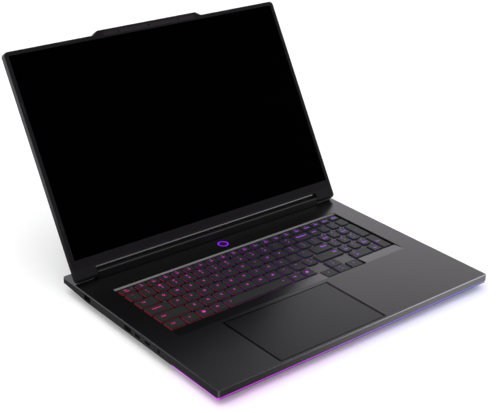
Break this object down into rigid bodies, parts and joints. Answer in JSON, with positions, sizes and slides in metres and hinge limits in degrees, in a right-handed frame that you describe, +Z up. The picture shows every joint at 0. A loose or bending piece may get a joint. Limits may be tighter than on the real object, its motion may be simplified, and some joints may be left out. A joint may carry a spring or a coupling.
{
  "type": "laptop computer",
  "caption": "Large open clamshell laptop with a sunken full-size keyboard, number pad, wide touchpad, hinge bar and front light bar.",
  "frame": {"origin": "on the table under the middle of the whole laptop as it stands with its lid open", "axes": "+X to the user's right along the hinge, +Y from the user to the rear, +Z up"},
  "size_m": [0.4, 0.4076, 0.2613],
  "materials": {
    "anodised_grey": "bead-blasted, dark grey anodised",
    "anodised_dark": "bead-blasted, near-black anodised",
    "black_shell": "fine moulded texture",
    "dark_trim": "satin",
    "bright_trim": "satin anodised",
    "keycap": "soft-touch coated, printed legends",
    "light_bar": "translucent diffuser, lit",
    "power_light": "translucent diffuser, lit",
    "backlight_sheet": "clear light guide",
    "silicone": "moulded",
    "foot_rubber": "matt",
    "screw_steel": "black zinc",
    "spring_steel": "stamped",
    "circuit_board": "solder mask",
    "copper": "bare copper",
    "fin_metal": "stamped fins",
    "fan_plastic": "moulded",
    "battery_wrap": "film-wrapped cells",
    "connector_metal": "nickel-plated",
    "connector_black": "moulded",
    "touch_surface": "etched",
    "display": "switched-off panel",
    "lens_black": "polished"
  },
  "bodies": {
    "base": {"top_case": "anodised_grey", "bottom_cover": "black_shell", "rear_vent_frame": "black_shell", "hinge_bar_cover": "anodised_dark", "keyboard_trim_bar": "bright_trim", "keyboard_plate": "spring_steel", "keyboard_backlight": "backlight_sheet", "dome_sheet": "silicone", "front_light_bar": "light_bar", "rubber_feet": "foot_rubber", "cover_screws": "screw_steel", "motherboard": "circuit_board", "heat_pipes": "copper", "fin_stacks": "fin_metal", "fan_housings": "fan_plastic", "battery_pack": "battery_wrap", "memory_modules": "circuit_board", "storage_modules": "circuit_board", "wireless_card": "circuit_board", "speakers": "fan_plastic", "ethernet_jack": "connector_black", "usb_a_sockets": "connector_metal", "usb_c_sockets": "connector_metal", "audio_jack": "connector_black", "video_socket": "connector_metal", "power_inlet": "connector_black", "hinge_brackets": "spring_steel", "power_ring_light": "power_light"},
    "lid": {"lid_back_cover": "anodised_dark", "lid_bezel": "dark_trim", "display_panel": "display", "lid_hinge_trim": "dark_trim", "hinge_arms": "spring_steel", "camera_module": "lens_black", "lid_bumpers": "foot_rubber"},
    "left_fan_rotor": {"fan_rotor_left": "fan_plastic"},
    "right_fan_rotor": {"fan_rotor_right": "fan_plastic"},
    "power_key": {"power_button": "dark_trim"},
    "touchpad_plate": {"touchpad": "touch_surface"},
    "privacy_slider": {"privacy_switch": "dark_trim"},
    "top_row_keys_group": {"top_row_keys": "keycap"},
    "number_row_keys_group": {"number_row_keys": "keycap"},
    "backspace_key_cap": {"backspace_key": "keycap"},
    "q_row_keys_group": {"q_row_keys": "keycap"},
    "home_row_keys_group": {"home_row_keys": "keycap"},
    "enter_key_cap": {"enter_key": "keycap"},
    "left_shift_key_cap": {"left_shift_key": "keycap"},
    "lower_row_keys_group": {"lower_row_keys": "keycap"},
    "right_shift_key_cap": {"right_shift_key": "keycap"},
    "modifier_keys_group": {"modifier_keys": "keycap"},
    "space_bar_cap": {"space_bar": "keycap"},
    "up_arrow_key_cap": {"up_arrow_key": "keycap"},
    "left_arrow_key_cap": {"left_arrow_key": "keycap"},
    "down_arrow_key_cap": {"down_arrow_key": "keycap"},
    "right_arrow_key_cap": {"right_arrow_key": "keycap"},
    "numpad_digit_keys_group": {"numpad_digit_keys": "keycap"},
    "numpad_plus_key_cap": {"numpad_plus_key": "keycap"},
    "numpad_enter_key_cap": {"numpad_enter_key": "keycap"},
    "numpad_zero_key_cap": {"numpad_zero_key": "keycap"}
  },
  "joints": [
    {"name": "lid_hinge", "type": "hinge", "parent": "base", "child": "lid", "pos_m": [0, 0.06132, 0.0264], "axis": [-1, 0, 0], "range_deg": [-121.2, 13.8]},
    {"name": "left_fan_spin", "type": "hinge", "parent": "base", "child": "left_fan_rotor", "pos_m": [-0.118, 0.00422, 0.01], "axis": [0, 0, 1], "continuous": true},
    {"name": "right_fan_spin", "type": "hinge", "parent": "base", "child": "right_fan_rotor", "pos_m": [0.118, 0.00422, 0.01], "axis": [0, 0, 1], "continuous": true},
    {"name": "power_button_press", "type": "slide", "parent": "base", "child": "power_key", "axis": [0, 0, -1], "range_m": [0, 0.0008], "stiffness_N_per_m": 250, "springref_m": -0.001},
    {"name": "touchpad_click", "type": "hinge", "parent": "base", "child": "touchpad_plate", "pos_m": [-0.0423, -0.10628, 0.0183], "axis": [1, 0, 0], "range_deg": [0, 0.3], "stiffness_Nm_per_rad": 2, "springref_deg": -1.72},
    {"name": "privacy_switch_slide", "type": "slide", "parent": "base", "child": "privacy_slider", "axis": [0, 1, 0], "range_m": [0, 0.0035]},
    {"name": "top_row_keys_press", "type": "slide", "parent": "base", "child": "top_row_keys_group", "axis": [0, 0, -1], "range_m": [0, 0.0015], "stiffness_N_per_m": 1000, "springref_m": -0.0015},
    {"name": "number_row_keys_press", "type": "slide", "parent": "base", "child": "number_row_keys_group", "axis": [0, 0, -1], "range_m": [0, 0.0015], "stiffness_N_per_m": 650, "springref_m": -0.0015},
    {"name": "backspace_key_press", "type": "slide", "parent": "base", "child": "backspace_key_cap", "axis": [0, 0, -1], "range_m": [0, 0.0015], "stiffness_N_per_m": 150, "springref_m": -0.0015},
    {"name": "q_row_keys_press", "type": "slide", "parent": "base", "child": "q_row_keys_group", "axis": [0, 0, -1], "range_m": [0, 0.0015], "stiffness_N_per_m": 700, "springref_m": -0.0015},
    {"name": "home_row_keys_press", "type": "slide", "parent": "base", "child": "home_row_keys_group", "axis": [0, 0, -1], "range_m": [0, 0.0015], "stiffness_N_per_m": 600, "springref_m": -0.0015},
    {"name": "enter_key_press", "type": "slide", "parent": "base", "child": "enter_key_cap", "axis": [0, 0, -1], "range_m": [0, 0.0015], "stiffness_N_per_m": 150, "springref_m": -0.0015},
    {"name": "left_shift_key_press", "type": "slide", "parent": "base", "child": "left_shift_key_cap", "axis": [0, 0, -1], "range_m": [0, 0.0015], "stiffness_N_per_m": 150, "springref_m": -0.0015},
    {"name": "lower_row_keys_press", "type": "slide", "parent": "base", "child": "lower_row_keys_group", "axis": [0, 0, -1], "range_m": [0, 0.0015], "stiffness_N_per_m": 500, "springref_m": -0.0015},
    {"name": "right_shift_key_press", "type": "slide", "parent": "base", "child": "right_shift_key_cap", "axis": [0, 0, -1], "range_m": [0, 0.0015], "stiffness_N_per_m": 150, "springref_m": -0.0015},
    {"name": "modifier_keys_press", "type": "slide", "parent": "base", "child": "modifier_keys_group", "axis": [0, 0, -1], "range_m": [0, 0.0015], "stiffness_N_per_m": 300, "springref_m": -0.0015},
    {"name": "space_bar_press", "type": "slide", "parent": "base", "child": "space_bar_cap", "axis": [0, 0, -1], "range_m": [0, 0.0015], "stiffness_N_per_m": 150, "springref_m": -0.0015},
    {"name": "up_arrow_key_press", "type": "slide", "parent": "base", "child": "up_arrow_key_cap", "axis": [0, 0, -1], "range_m": [0, 0.0015], "stiffness_N_per_m": 150, "springref_m": -0.0015},
    {"name": "left_arrow_key_press", "type": "slide", "parent": "base", "child": "left_arrow_key_cap", "axis": [0, 0, -1], "range_m": [0, 0.0015], "stiffness_N_per_m": 150, "springref_m": -0.0015},
    {"name": "down_arrow_key_press", "type": "slide", "parent": "base", "child": "down_arrow_key_cap", "axis": [0, 0, -1], "range_m": [0, 0.0015], "stiffness_N_per_m": 150, "springref_m": -0.0015},
    {"name": "right_arrow_key_press", "type": "slide", "parent": "base", "child": "right_arrow_key_cap", "axis": [0, 0, -1], "range_m": [0, 0.0015], "stiffness_N_per_m": 150, "springref_m": -0.0015},
    {"name": "numpad_digit_keys_press", "type": "slide", "parent": "base", "child": "numpad_digit_keys_group", "axis": [0, 0, -1], "range_m": [0, 0.0015], "stiffness_N_per_m": 700, "springref_m": -0.0015},
    {"name": "numpad_plus_key_press", "type": "slide", "parent": "base", "child": "numpad_plus_key_cap", "axis": [0, 0, -1], "range_m": [0, 0.0015], "stiffness_N_per_m": 150, "springref_m": -0.0015},
    {"name": "numpad_enter_key_press", "type": "slide", "parent": "base", "child": "numpad_enter_key_cap", "axis": [0, 0, -1], "range_m": [0, 0.0015], "stiffness_N_per_m": 150, "springref_m": -0.0015},
    {"name": "numpad_zero_key_press", "type": "slide", "parent": "base", "child": "numpad_zero_key_cap", "axis": [0, 0, -1], "range_m": [0, 0.0015], "stiffness_N_per_m": 150, "springref_m": -0.0015}
  ]
}
